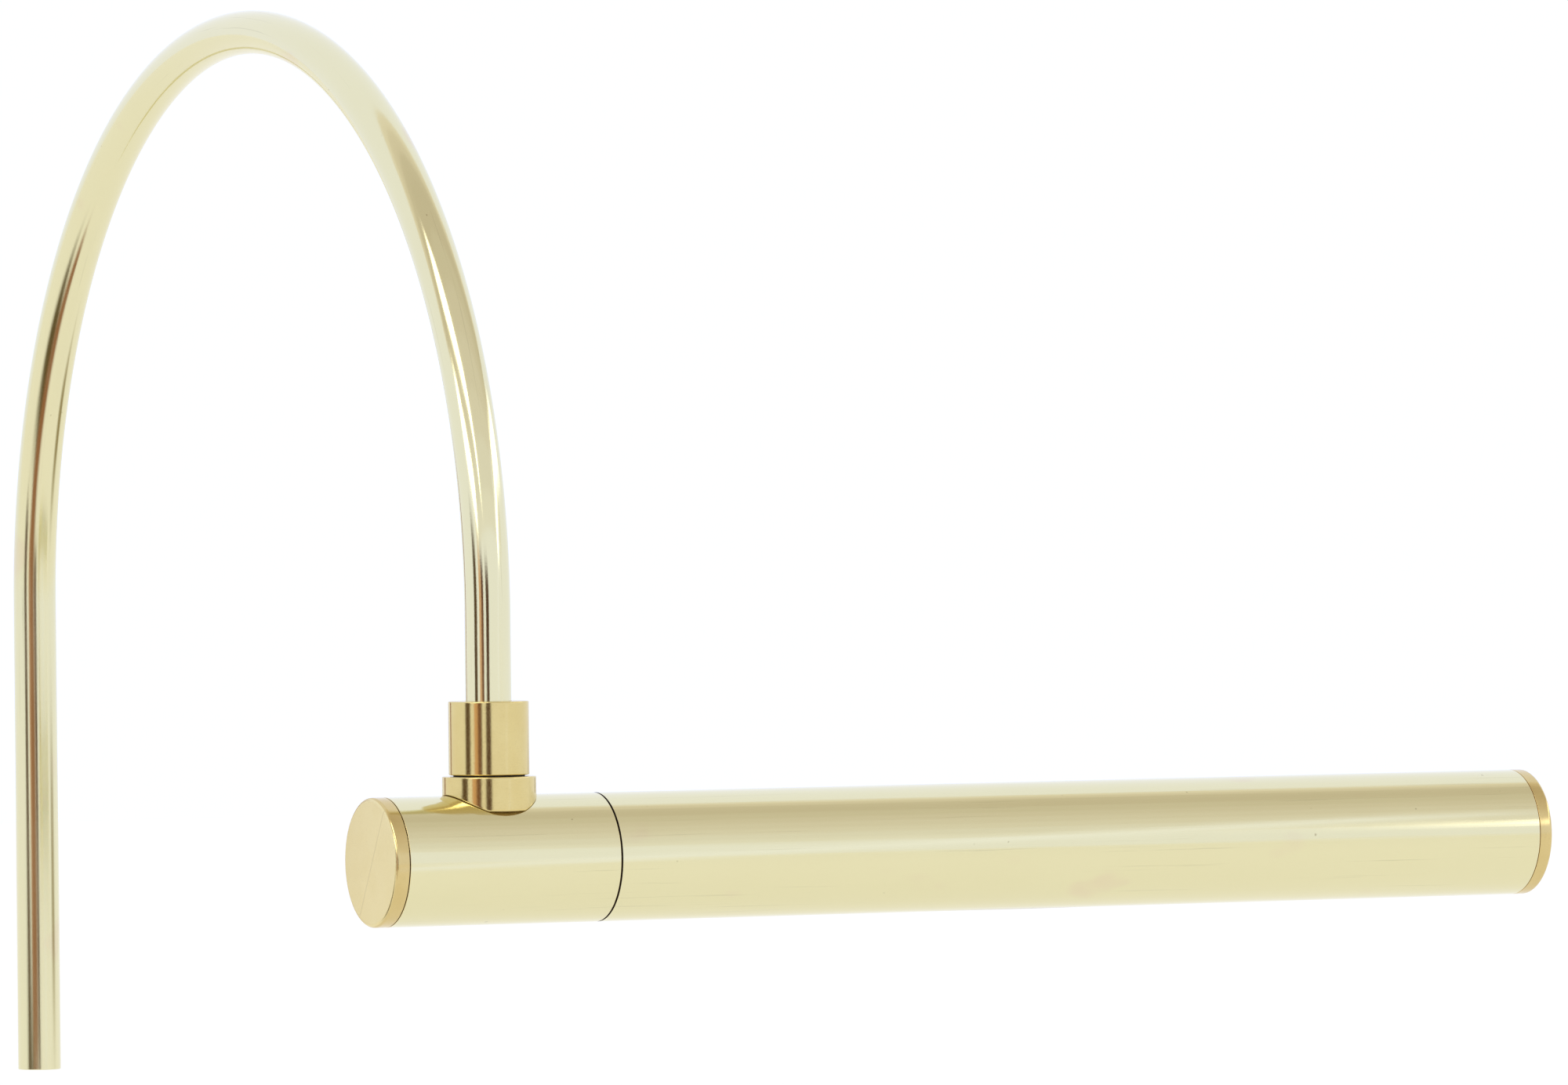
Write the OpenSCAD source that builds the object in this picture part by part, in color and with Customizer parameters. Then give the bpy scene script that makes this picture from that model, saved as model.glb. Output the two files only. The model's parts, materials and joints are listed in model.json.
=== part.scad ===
// Picture light: a slim tubular head that hangs from a bent tube arm.
// Millimetres, +Z up. The origin is the lower end of the rear leg, which a bracket grips.
// +X runs along the head, and the front faces -Y. Threads are drawn as plain cylinders.

/* [Arm] */
// Outer diameter of the arm tube
arm_d = 10; // [9:0.5:10]
// Wall of the arm tube
arm_wall = 1; // [0.8:0.1:1]
// Radius of the arch, to the middle of the tube
arch_r = 130; // [110:1:180]
// Height of the arch's centre above the head's axis
arch_h = 52.5; // [44:0.5:90]
// Depth of the rear leg's end below the head's axis
leg_drop = 57; // [30:1:120]

/* [Head] */
// Outer diameter of the head
head_d = 28; // [28:0.5:30]
// Wall of the housing and the shade
head_wall = 1; // [0.8:0.1:1]
// Length of the housing, with the swivel at its middle
housing_len = 50; // [50:1:60]
// Length of the shade
shade_len = 226; // [150:2:400]
// Thickness of an end cap outside its tube
cap_t = 3.2; // [2.5:0.1:4]
// Gap between the housing and the shade
seam = 0.4; // [0.4:0.1:0.6]

/* [Light] */
// Angle that the light slot spans around the shade
slot_angle = 80; // [70:5:85]
// Direction of the slot below the horizontal
slot_tilt = 45; // [30:5:60]
// Length of plain shade left at each end of the slot
slot_margin = 14; // [14:1:20]
// Pitch of the light sources
led_pitch = 10; // [8:0.5:15]

/* [Joints] */
// Outer diameter of the arm collar
collar_d = 17.5; // [15:0.5:18]
// Height of the arm collar
collar_h = 15.9; // [14:0.1:18]
// Outer diameter of the saddle ring
saddle_d = 20.4; // [18.4:0.4:21]
// Height of the saddle ring's top above the head's axis
saddle_top = 18; // [17.5:0.1:19]
// Height of the saddle ring's flat foot above the head's axis
saddle_foot = 10.6; // [9:0.1:11]
// Turn of the head each way from rest
swivel_travel = 75; // [30:5:75]
// Turn of the shade each way from rest
shade_travel = 60; // [30:5:60]

/* [Hidden] */
$fn = 96;

// Finishes
tube_brass = "#e6e1be";
turned_brass = "#dec896";
steel = "#b4b6b8";
aluminium = "#cfd2d4";

// Arm
arm_r = arm_d / 2;
arm_bore = arm_r - arm_wall;
span = 2 * arch_r;
arch_z = leg_drop + arch_h;
thread_r = 5;
nipple_bore = 3.5;
lead_r = 2.4;
lead_bush_len = 8;
recess = 0.3;

// Head
head_r = head_d / 2;
head_bore = head_r - head_wall;
housing_x0 = -housing_len / 2;
housing_x1 = housing_len / 2 - seam / 2;
shade_x0 = housing_x1 + seam;
shade_x1 = shade_x0 + shade_len;
cap_bevel = 0.35;
spigot_len = 6;
spigot_wall = 2;
edge = 0.3;

// Swivel stack, as heights above the head's axis
run_gap = 0.05;
washer_gap = 0.3;
collar_z = saddle_top + washer_gap;
collar_top = collar_z + collar_h;
arm_seat = 8;
nipple_top = collar_top - arm_seat - 0.2;
nipple_end = 1.5;
seat_z = 8;
stop_washer_t = 0.75;
stop_washer_z = seat_z - run_gap - stop_washer_t;
swivel_spring_t = 1.2;
nut_top = stop_washer_z - swivel_spring_t;
nut_t = 3.5;
nut_flats = 14;
inner_saddle_len = 24;
stop_pin_r = 0.8;
swivel_pin_arc = 8.7;
stop_washer_r = 9.6;
notch_r = 7.6;
stop_slack = 1;

// Pivot between the housing and the shade, as places along the head
hub_x0 = 13;
hub_face = housing_x1 + 0.15;
hub_web = 5;
journal_r = 8;
journal_end = shade_x0 + 12.3;
wire_bore = 3;
bush_x0 = hub_face + 0.15;
bush_x1 = shade_x0 + 8.8;
pivot_spring_x = bush_x1 + 0.1;
pivot_washer_x = pivot_spring_x + 1;
groove_x = pivot_washer_x + 0.8;
groove_r = 7.3;
clip_t = 0.9;
shade_pin_arc = 10.6;
shade_pin_depth = 3.2;

// Grub screws, which face the wall
grub_r = 1.5;
grub_dir = 25;
grub_sunk = 0.15;

// Light engine, in the slot's own frame: u across it, v out of it
slot_x0 = shade_x0 + slot_margin;
slot_x1 = shade_x1 - slot_margin;
channel_x0 = journal_end + 0.5;
channel_x1 = shade_x1 - spigot_len - 0.5;
channel_r = head_bore - 0.1;
channel_wall = 1;
base_v = -3;
base_t = 1.5;
lip_v = 8.5;
lens_v = 5.5;
lens_t = 2;
ledge_t = 0.8;
board_w = 10;
board_t = 1;
board_gap = 12;
screw_inset = 6;
sink_depth = 1.3;
board_x0 = slot_x0 + board_gap;
board_x1 = slot_x1 - board_gap;
led_count = floor((board_x1 - board_x0 - 4) / led_pitch);
led_x0 = (board_x0 + board_x1 - (led_count - 1) * led_pitch) / 2;
led_size = [3.5, 2.8, 0.8];
wire_r = 0.65;
lamp_wire_x0 = 23;
splice_size = [10, 7.5, 8];
splice_mouth = -8.8;
wire_pitch = 1.8;

// Helpers

// Places things on the head's axis, at the swivel
module in_head() {
    translate([0, -span, leg_drop]) children();
}

// A ring that stands on the XY plane
module ring(outer, inner, height) {
    difference() {
        cylinder(r = outer, h = height);
        translate([0, 0, -1]) cylinder(r = inner, h = height + 2);
    }
}

// Turns a shape that stands on Z so that it runs along X from x
module along_x(x) {
    translate([x, 0, 0]) rotate([0, 90, 0]) children();
}

// Points Z outwards at place x along the head, at an angle above the back
module radial_at(x, angle) {
    translate([x, 0, 0]) rotate([angle - 90, 0, 0]) children();
}

// Extrudes a (u, v) outline along the head from x0 to x1
module slot_extrude(x0, x1) {
    rotate([-slot_tilt, 0, 0]) along_x(x0) linear_extrude(height = x1 - x0) children();
}

// Points Z out of the slot at place x along the head
module slot_at(x) {
    radial_at(x, -slot_tilt) children();
}

// Places the shade's stop pin, opposite the slot, half in the pivot hub
module at_shade_pin() {
    rotate([-slot_tilt, 0, 0]) translate([hub_face - shade_pin_depth, -shade_pin_arc, 0])
        rotate([0, 90, 0]) children();
}

// A point at fraction t of the rounded bend between the middles of two runs
function bend(a, b, c, t) =
    (1 - t) * (1 - t) * (a + b) / 2 + 2 * t * (1 - t) * b + t * t * (b + c) / 2;

// A route with its corners rounded
function rounded(route) = concat([route[0]],
    [for (i = [1 : len(route) - 2]) for (t = [0 : 0.25 : 1])
        if (t < 1 || i == len(route) - 2) bend(route[i - 1], route[i], route[i + 1], t)],
    [route[len(route) - 1]]);

function unit(v) = v / norm(v);

// The eight points of a wire's ring at place i of a route that never runs along Y
function wire_ring(p, i) = let(
    along = unit(p[min(i + 1, len(p) - 1)] - p[max(i - 1, 0)]),
    side = unit(cross(along, [0, 1, 0])),
    up = cross(side, along))
    [for (a = [0 : 45 : 315]) p[i] + wire_r * (cos(a) * side + sin(a) * up)];

// A wire swept along a route of points
module wire(route) {
    p = rounded(route);
    rings = [for (i = [0 : len(p) - 1]) each wire_ring(p, i)];
    start = [for (k = [0 : 7]) k];
    end = [for (k = [7 : -1 : 0]) 8 * (len(p) - 1) + k];
    sides = [for (i = [0 : len(p) - 2]) for (k = [0 : 7])
        [8 * i + k, 8 * (i + 1) + k, 8 * (i + 1) + (k + 1) % 8, 8 * i + (k + 1) % 8]];
    polyhedron(points = rings, faces = concat([start], [end], sides), convexity = 6);
}

// The run of the arm: rear leg, arch and front leg, as a solid rod
module arm_rod(r, rear_z, front_z) {
    translate([0, 0, rear_z]) cylinder(r = r, h = arch_z - rear_z);
    translate([0, -arch_r, arch_z]) rotate([90, 0, 90])
        rotate_extrude(angle = 180, $fn = 180) translate([arch_r, 0]) circle(r = r);
    translate([0, -span, front_z]) cylinder(r = r, h = arch_z - front_z);
}

// A grub screw with its hexagon socket, its tip at radius inner
module grub_screw(inner, outer) {
    difference() {
        translate([0, 0, inner]) cylinder(r = grub_r, h = outer - inner);
        translate([0, 0, outer - 1.5]) cylinder(d = 1.7, h = 3, $fn = 6);
    }
}

// The hole for a grub screw, from radius inner outwards
module grub_hole(inner) {
    translate([0, 0, inner]) cylinder(r = grub_r, h = head_r);
}

// An end cap that faces +Z, with its spigot below
module cap_body() {
    rotate_extrude() polygon([
        [0, -1], [head_bore - spigot_wall, -1], [head_bore - spigot_wall, -spigot_len],
        [head_bore, -spigot_len], [head_bore, 0], [head_r, 0], [head_r, cap_t - cap_bevel],
        [head_r - cap_bevel, cap_t], [0, cap_t]]);
}

// Arm parts

module arm_tube() {
    color(tube_brass) difference() {
        arm_rod(arm_r, 0, leg_drop + collar_top - arm_seat);
        arm_rod(arm_bore, -1, leg_drop + collar_top - arm_seat - 1);
    }
}

module arm_collar() {
    color(turned_brass) in_head() difference() {
        translate([0, 0, collar_z]) rotate_extrude() polygon([
            [arm_r, 0], [collar_d / 2 - edge, 0], [collar_d / 2, edge],
            [collar_d / 2, collar_h - edge], [collar_d / 2 - edge, collar_h], [arm_r, collar_h]]);
        translate([0, 0, collar_top - arm_seat / 2]) radial_at(0, 0) grub_hole(0);
    }
}

module collar_screw() {
    color(steel) in_head() translate([0, 0, collar_top - arm_seat / 2])
        radial_at(0, 0) grub_screw(arm_r, collar_d / 2 - grub_sunk);
}

module swivel_nipple() {
    color(turned_brass) in_head() translate([0, 0, nipple_end])
        ring(thread_r, nipple_bore, nipple_top - nipple_end);
}

module swivel_washer() {
    color("#3b342c") in_head() translate([0, 0, saddle_top + run_gap])
        ring(collar_d / 2 - 1, thread_r, washer_gap - run_gap);
}

// Its notch lets the stop pin pass through the swivel's travel
module stop_washer() {
    reach = swivel_travel + asin(stop_pin_r / swivel_pin_arc) + stop_slack;
    color(steel) in_head() translate([0, 0, stop_washer_z]) difference() {
        ring(stop_washer_r, thread_r, stop_washer_t);
        translate([0, 0, -1]) rotate([0, 0, 180 - reach]) rotate_extrude(angle = 2 * reach)
            translate([notch_r, 0]) square([stop_washer_r, stop_washer_t + 2]);
    }
}

module swivel_spring() {
    color(steel) in_head() translate([0, 0, nut_top]) ring(7.2, thread_r, swivel_spring_t);
}

module swivel_nut() {
    color(turned_brass) in_head() translate([0, 0, nut_top - nut_t]) difference() {
        cylinder(d = nut_flats / cos(30), h = nut_t, $fn = 6);
        translate([0, 0, -1]) cylinder(r = thread_r, h = nut_t + 2);
    }
}

module lead_bush() {
    color("#e8e6df") translate([0, 0, recess]) ring(arm_bore, lead_r + 0.2, lead_bush_len);
}

module supply_lead() {
    color("#f1efe8") arm_rod(lead_r, 2 * recess, leg_drop + nipple_end);
}

// Housing parts

module housing_tube() {
    color(tube_brass) in_head() difference() {
        along_x(housing_x0) ring(head_r, head_bore, housing_x1 - housing_x0);
        cylinder(r = thread_r + 0.4, h = head_d);
        radial_at(housing_x0 + spigot_len / 2, grub_dir) grub_hole(head_bore - 1);
        radial_at(hub_x0 + 3, grub_dir) grub_hole(head_bore - 1);
    }
}

module saddle_ring() {
    color(turned_brass) in_head() difference() {
        rotate_extrude() polygon([
            [thread_r + run_gap, saddle_foot], [saddle_d / 2, saddle_foot],
            [saddle_d / 2, saddle_top - edge],
            [saddle_d / 2 - edge, saddle_top], [thread_r + run_gap, saddle_top]]);
        along_x(-head_r) cylinder(r = head_r, h = head_d);
    }
}

module inner_saddle() {
    color(turned_brass) in_head() difference() {
        intersection() {
            along_x(-inner_saddle_len / 2) cylinder(r = head_bore, h = inner_saddle_len);
            translate([-inner_saddle_len, -head_r, seat_z]) cube([2 * inner_saddle_len, head_d, head_d]);
        }
        cylinder(r = thread_r + run_gap, h = head_d);
        translate([-swivel_pin_arc, 0, 0]) cylinder(r = stop_pin_r, h = head_bore - 0.5);
    }
}

module swivel_stop_pin() {
    pin_z = stop_washer_z - recess;
    color(steel) in_head() translate([-swivel_pin_arc, 0, pin_z])
        cylinder(r = stop_pin_r, h = head_bore - 0.5 - pin_z);
}

module housing_cap() {
    color(turned_brass) in_head() difference() {
        along_x(housing_x0) mirror([0, 0, 1]) cap_body();
        radial_at(housing_x0 + spigot_len / 2, grub_dir) grub_hole(head_bore - spigot_wall - 1);
    }
}

module housing_cap_screw() {
    color(steel) in_head() radial_at(housing_x0 + spigot_len / 2, grub_dir)
        grub_screw(head_bore - spigot_wall, head_r - grub_sunk);
}

// The fixed half of the shade's pivot, with the journal that the shade turns on
module pivot_hub() {
    cup = hub_face - hub_web - hub_x0;
    color(turned_brass) in_head() difference() {
        along_x(hub_x0) rotate_extrude() polygon([
            [wire_bore, cup], [head_bore - spigot_wall, cup], [head_bore - spigot_wall, 0],
            [head_bore, 0], [head_bore, hub_face - hub_x0], [journal_r, hub_face - hub_x0],
            [journal_r, groove_x - hub_x0], [groove_r, groove_x - hub_x0],
            [groove_r, groove_x + clip_t - hub_x0], [journal_r, groove_x + clip_t - hub_x0],
            [journal_r, journal_end - hub_x0], [wire_bore, journal_end - hub_x0]]);
        radial_at(hub_x0 + 3, grub_dir) grub_hole(head_bore - spigot_wall - 1);
        at_shade_pin() cylinder(r = stop_pin_r, h = 2 * shade_pin_depth);
    }
}

module pivot_hub_screw() {
    color(steel) in_head() radial_at(hub_x0 + 3, grub_dir)
        grub_screw(head_bore - spigot_wall, head_r - grub_sunk);
}

// It runs in the shade bush's groove
module shade_stop_pin() {
    color(steel) in_head() at_shade_pin() cylinder(r = stop_pin_r, h = 2 * shade_pin_depth);
}

module pivot_spring() {
    color(steel) in_head() along_x(pivot_spring_x) ring(11, journal_r, pivot_washer_x - pivot_spring_x);
}

module pivot_washer() {
    color(steel) in_head() along_x(pivot_washer_x) ring(11.5, journal_r, groove_x - pivot_washer_x);
}

module retaining_ring() {
    opening = 60;
    color(steel) in_head() along_x(groove_x) rotate([0, 0, opening / 2])
        rotate_extrude(angle = 360 - opening)
            translate([groove_r, 0]) square([1.9, clip_t]);
}

// One splice for each pole, both entered from the swivel's side
module splice_connectors() {
    color("#e9a23b") in_head() for (side = [0, 1]) mirror([0, side, 0])
        translate([splice_mouth - 0.2 - splice_size.x, 0.5, -splice_size.z]) cube(splice_size);
}

module supply_cores() {
    color("#8c3b2e") in_head() for (side = [-1, 1])
        wire([[0, 0.8 * side, 1.2], [0, 0.8 * side, -0.5], [-2.5, 2 * side, -2.6],
            [splice_mouth, 4 * side, -2.5]]);
}

module link_wires() {
    color("#3a3a3c") in_head() for (side = [-1, 1])
        wire([[splice_mouth, 4 * side, -5.5], [-4, 3.4 * side, -6.5], [8, 1.6 * side, -5],
            [14, 0.9 * side, -0.5], [22.5, 0.9 * side, 0]]);
}

// Shade parts

module shade_tube() {
    reach = 2 * head_r;
    half = reach * tan(slot_angle / 2);
    color(tube_brass) in_head() difference() {
        along_x(shade_x0) ring(head_r, head_bore, shade_len);
        slot_extrude(slot_x0, slot_x1) polygon([[0, 0], [half, reach], [-half, reach]]);
        radial_at(bush_x1 - 2.5, grub_dir) grub_hole(head_bore - 1);
        radial_at(shade_x1 - spigot_len / 2, grub_dir) grub_hole(head_bore - 1);
    }
}

// The turning half of the pivot, with the groove that the stop pin runs in
module shade_bush() {
    reach = shade_travel + asin(stop_pin_r / shade_pin_arc) + stop_slack;
    groove_w = 2 * stop_pin_r + 0.4;
    color(turned_brass) in_head() difference() {
        along_x(bush_x0) ring(head_bore, journal_r + run_gap, bush_x1 - bush_x0);
        rotate([-slot_tilt, 0, 0]) along_x(bush_x0 - 1) rotate([0, 0, -90 - reach])
            rotate_extrude(angle = 2 * reach)
                translate([shade_pin_arc - groove_w / 2, 0]) square([groove_w, shade_pin_depth + 1.5]);
        radial_at(bush_x1 - 2.5, grub_dir) grub_hole(0);
    }
}

module shade_bush_screw() {
    color(steel) in_head() radial_at(bush_x1 - 2.5, grub_dir)
        grub_screw(journal_r + 1, head_r - grub_sunk);
}

module shade_cap() {
    color(turned_brass) in_head() difference() {
        along_x(shade_x1) cap_body();
        radial_at(shade_x1 - spigot_len / 2, grub_dir) grub_hole(head_bore - spigot_wall - 1);
    }
}

module shade_cap_screw() {
    color(steel) in_head() radial_at(shade_x1 - spigot_len / 2, grub_dir)
        grub_screw(head_bore - spigot_wall, head_r - grub_sunk);
}

// Threaded pillars soldered inside the shade, behind the light engine
module channel_pillars() {
    depth = 6;
    color(turned_brass) in_head() for (x = [slot_x0 + screw_inset, slot_x1 - screw_inset])
        difference() {
            intersection() {
                slot_at(x) translate([0, 0, -head_r]) cylinder(r = 3, h = head_r + base_v);
                along_x(shade_x0) cylinder(r = head_bore, h = shade_len);
            }
            slot_at(x) translate([0, 0, base_v - depth]) cylinder(r = grub_r, h = depth + 1);
        }
}

// The countersunk cone of a channel screw, flush with the channel's base
module screw_cone() {
    translate([0, 0, -sink_depth]) cylinder(r1 = grub_r, r2 = grub_r + sink_depth, h = sink_depth);
}

module channel_screws() {
    shank = 5;
    color(steel) in_head() for (x = [slot_x0 + screw_inset, slot_x1 - screw_inset])
        slot_at(x) translate([0, 0, base_v + base_t]) difference() {
            union() {
                screw_cone();
                translate([0, 0, -base_t - shank]) cylinder(r = grub_r, h = base_t + shank - 0.1);
            }
            translate([0, 0, -1]) cylinder(d = 2.3, h = 2, $fn = 6);
        }
}

// The outline of the light channel: a base, two curved walls and the lens ledges
module channel_outline() {
    inner = channel_r - channel_wall;
    difference() {
        intersection() {
            circle(r = channel_r);
            translate([-head_r, base_v]) square([head_d, lip_v - base_v]);
        }
        intersection() {
            circle(r = inner);
            translate([-head_r, lens_v]) square([head_d, head_r]);
        }
        intersection() {
            circle(r = inner - 1);
            translate([-head_r, lens_v - ledge_t - 1]) square([head_d, head_r]);
        }
        intersection() {
            circle(r = inner);
            translate([-head_r, base_v + base_t]) square([head_d, lens_v - ledge_t - base_v - base_t]);
        }
    }
}

module led_channel() {
    color(aluminium) in_head() difference() {
        slot_extrude(channel_x0, channel_x1) channel_outline();
        for (x = [slot_x0 + screw_inset, slot_x1 - screw_inset])
            slot_at(x) translate([0, 0, base_v + base_t]) {
                screw_cone();
                translate([0, 0, -base_t - 1]) cylinder(r = grub_r, h = base_t + 2);
            }
    }
}

module led_board() {
    color("#f4f4f0") in_head() slot_extrude(board_x0, board_x1)
        translate([-board_w / 2, base_v + base_t]) square([board_w, board_t]);
}

module led_chips() {
    color("#f2d24a") in_head() for (i = [0 : led_count - 1])
        slot_at(led_x0 + i * led_pitch)
            translate([-led_size.x / 2, -led_size.y / 2, base_v + base_t + board_t]) cube(led_size);
}

module diffuser() {
    color("#f7f7f2") in_head() slot_extrude(channel_x0, channel_x1) intersection() {
        circle(r = channel_r - channel_wall - run_gap);
        translate([-head_r, lens_v]) square([head_d, lens_t]);
    }
}

// Two straight wires near the shade's axis, so that they only twist as it turns
module lamp_wires() {
    wire_v = base_v + base_t + board_t + wire_r;
    color("#8c2f28") in_head() for (side = [-1, 1])
        rotate([-slot_tilt, 0, 0]) translate([lamp_wire_x0, wire_v, side * wire_pitch / 2]) rotate([0, 90, 0])
            cylinder(r = wire_r, h = board_x0 + 2 - lamp_wire_x0, $fn = 24);
}

arm_tube();
arm_collar();
collar_screw();
swivel_nipple();
swivel_washer();
stop_washer();
swivel_spring();
swivel_nut();
lead_bush();
supply_lead();
housing_tube();
saddle_ring();
inner_saddle();
swivel_stop_pin();
housing_cap();
housing_cap_screw();
pivot_hub();
pivot_hub_screw();
shade_stop_pin();
pivot_spring();
pivot_washer();
retaining_ring();
splice_connectors();
supply_cores();
link_wires();
shade_tube();
shade_bush();
shade_bush_screw();
shade_cap();
shade_cap_screw();
channel_pillars();
channel_screws();
led_channel();
led_board();
led_chips();
diffuser();
lamp_wires();
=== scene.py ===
"""Looks of the picture light: the brass, the studio and the camera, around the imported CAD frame."""

import json
import math

import bmesh
import bpy
from mathutils import Matrix, Vector


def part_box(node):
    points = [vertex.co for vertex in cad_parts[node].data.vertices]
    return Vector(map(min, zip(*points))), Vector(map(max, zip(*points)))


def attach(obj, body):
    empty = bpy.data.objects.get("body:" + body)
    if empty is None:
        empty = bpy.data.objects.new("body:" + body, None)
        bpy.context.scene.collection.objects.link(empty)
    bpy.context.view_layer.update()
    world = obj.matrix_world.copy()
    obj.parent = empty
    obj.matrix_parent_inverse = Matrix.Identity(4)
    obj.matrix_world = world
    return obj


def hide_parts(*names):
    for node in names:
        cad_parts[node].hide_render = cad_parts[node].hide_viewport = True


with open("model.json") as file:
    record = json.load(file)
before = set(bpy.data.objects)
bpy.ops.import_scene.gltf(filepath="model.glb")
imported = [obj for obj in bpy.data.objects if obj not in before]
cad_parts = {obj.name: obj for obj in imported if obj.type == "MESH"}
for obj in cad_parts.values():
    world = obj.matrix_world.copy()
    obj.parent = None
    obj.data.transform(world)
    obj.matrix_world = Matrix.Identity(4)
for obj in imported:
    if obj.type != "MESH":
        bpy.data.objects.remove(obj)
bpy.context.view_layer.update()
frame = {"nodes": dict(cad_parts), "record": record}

MM = 0.001

# ---------------------------------------------------------------- places, from the frame

arm_low, arm_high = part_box("arm_tube")
ARM_R = arm_high.x
ARCH_R = (-arm_low.y - ARM_R) / 2
ARCH_Z = arm_high.z - ARCH_R - ARM_R
ARM_FRONT_Y = -2 * ARCH_R

shade_low, shade_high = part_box("shade_tube")
housing_low, housing_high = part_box("housing_tube")
hub_low, hub_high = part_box("pivot_hub")
AXIS_Y = (shade_low.y + shade_high.y) / 2
AXIS_Z = (shade_low.z + shade_high.z) / 2
HEAD_R = (shade_high.z - shade_low.z) / 2
HEAD_BORE = (hub_high.z - hub_low.z) / 2
HEAD_AXIS = Vector((0, AXIS_Y, AXIS_Z))
SWIVEL_AXIS = Vector((0, ARM_FRONT_Y, 0))

# The slot as part.scad cuts it
SLOT_MARGIN = 14 * MM
SLOT_MIDDLE = math.radians(-45)
SLOT_HALF = math.radians(40)
CAP_GAP = 0.2 * MM
GRUB_R = 1.5 * MM
GRUB_PLAY = 0.05 * MM
GRUB_ANGLE = math.radians(25)
BORE_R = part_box("lead_bush")[1].x


# ---------------------------------------------------------------- mesh helpers

def new_piece(name, points, faces, turn):
    """A smooth mesh object. turn holds each point's place along and across its own axis."""
    mesh = bpy.data.meshes.new(name)
    mesh.from_pydata(points, [], faces)
    mesh.validate()
    attribute = mesh.attributes.new("turn", "FLOAT_VECTOR", "POINT")
    attribute.data.foreach_set("vector", [c for p in turn for c in p])
    mesh.polygons.foreach_set("use_smooth", [True] * len(mesh.polygons))
    piece = bpy.data.objects.new(name, mesh)
    bpy.context.scene.collection.objects.link(piece)
    return piece


def finish_edges(piece, width=0, segments=3):
    """Rounds the sharp edges, and keeps flat faces flat to the eye."""
    if width:
        bevel = piece.modifiers.new("rounded_edges", "BEVEL")
        bevel.width = width
        bevel.segments = segments
        bevel.limit_method = "ANGLE"
        bevel.angle_limit = math.radians(40)
        bevel.use_clamp_overlap = True
    normals = piece.modifiers.new("even_normals", "WEIGHTED_NORMAL")
    normals.weight = 60
    normals.keep_sharp = True


def along_x(place, radius, angle):
    """A point on a ring round the head's axis."""
    return Vector((place, AXIS_Y + radius * math.cos(angle), AXIS_Z + radius * math.sin(angle)))


def along_z(place, radius, angle):
    """A point on a ring round the swivel's axis."""
    return Vector((radius * math.cos(angle), ARM_FRONT_Y + radius * math.sin(angle), place))


def fillet(outline, steps=7):
    """An outline of (place, radius, rounding) corners, with each corner rounded as asked."""
    result = []
    count = len(outline)
    for i, (x, y, rounding) in enumerate(outline):
        corner = Vector((x, y))
        if not rounding:
            result.append(corner)
            continue
        back = Vector(outline[i - 1][:2]) - corner
        ahead = Vector(outline[(i + 1) % count][:2]) - corner
        half = back.angle(ahead) / 2
        reach = rounding / math.tan(half)
        start = corner + back.normalized() * reach
        end = corner + ahead.normalized() * reach
        centre = corner + (back.normalized() + ahead.normalized()).normalized() * rounding / math.sin(half)
        sweep = (start - centre).angle_signed(end - centre)
        for k in range(steps + 1):
            result.append(centre + Matrix.Rotation(-sweep * k / steps, 2) @ (start - centre))
    return result


def lathe(name, outline, ring, steps=128, closed=True):
    """Turns an outline of (place, radius, rounding) corners round an axis. ring places its points."""
    profile = fillet(outline)
    points, turn, faces = [], [], []
    for j in range(steps):
        angle = 2 * math.pi * j / steps
        for p in profile:
            points.append(ring(p.x, p.y, angle))
            turn.append((p.x, p.y * math.cos(angle), p.y * math.sin(angle)))
    n = len(profile)
    spans = n if closed else n - 1
    for j in range(steps):
        k = (j + 1) % steps
        for i in range(spans):
            m = (i + 1) % n
            faces.append((j * n + i, k * n + i, k * n + m, j * n + m))
    return new_piece(name, points, faces, turn)


def fill_disc(name, outline, ring, steps=128):
    """A turned solid whose outline starts and ends on the axis."""
    piece = lathe(name, outline, ring, steps, closed=False)
    merge(piece)
    return piece


def merge(piece, distance=1e-6):
    """Joins points that lie on each other, such as a lathe's points on its axis."""
    work = bmesh.new()
    work.from_mesh(piece.data)
    bmesh.ops.remove_doubles(work, verts=work.verts, dist=distance)
    bmesh.ops.recalc_face_normals(work, faces=work.faces)
    work.to_mesh(piece.data)
    work.free()
    piece.data.polygons.foreach_set("use_smooth", [True] * len(piece.data.polygons))


def drill(piece, centre, direction, radius, depth):
    """Cuts a round hole in a piece, and leaves the cut in its mesh."""
    bpy.ops.mesh.primitive_cylinder_add(vertices=48, radius=radius, depth=2 * depth, location=centre)
    cutter = bpy.context.object
    cutter.rotation_mode = "QUATERNION"
    cutter.rotation_quaternion = direction.to_track_quat("Z", "Y")
    cut = piece.modifiers.new("hole", "BOOLEAN")
    cut.operation = "DIFFERENCE"
    cut.solver = "EXACT"
    cut.object = cutter
    bpy.context.view_layer.update()
    evaluated = piece.evaluated_get(bpy.context.evaluated_depsgraph_get())
    made = bpy.data.meshes.new_from_object(evaluated)
    piece.modifiers.remove(cut)
    piece.data = made
    bpy.data.objects.remove(cutter)


def drill_grub_hole(piece, place):
    """Opens the hole of a grub screw that faces the wall, at a place along the head."""
    direction = Vector((0, math.cos(GRUB_ANGLE), math.sin(GRUB_ANGLE)))
    drill(piece, along_x(place, HEAD_R, GRUB_ANGLE), direction, GRUB_R + GRUB_PLAY, 3.5 * MM)


# ---------------------------------------------------------------- materials

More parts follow.
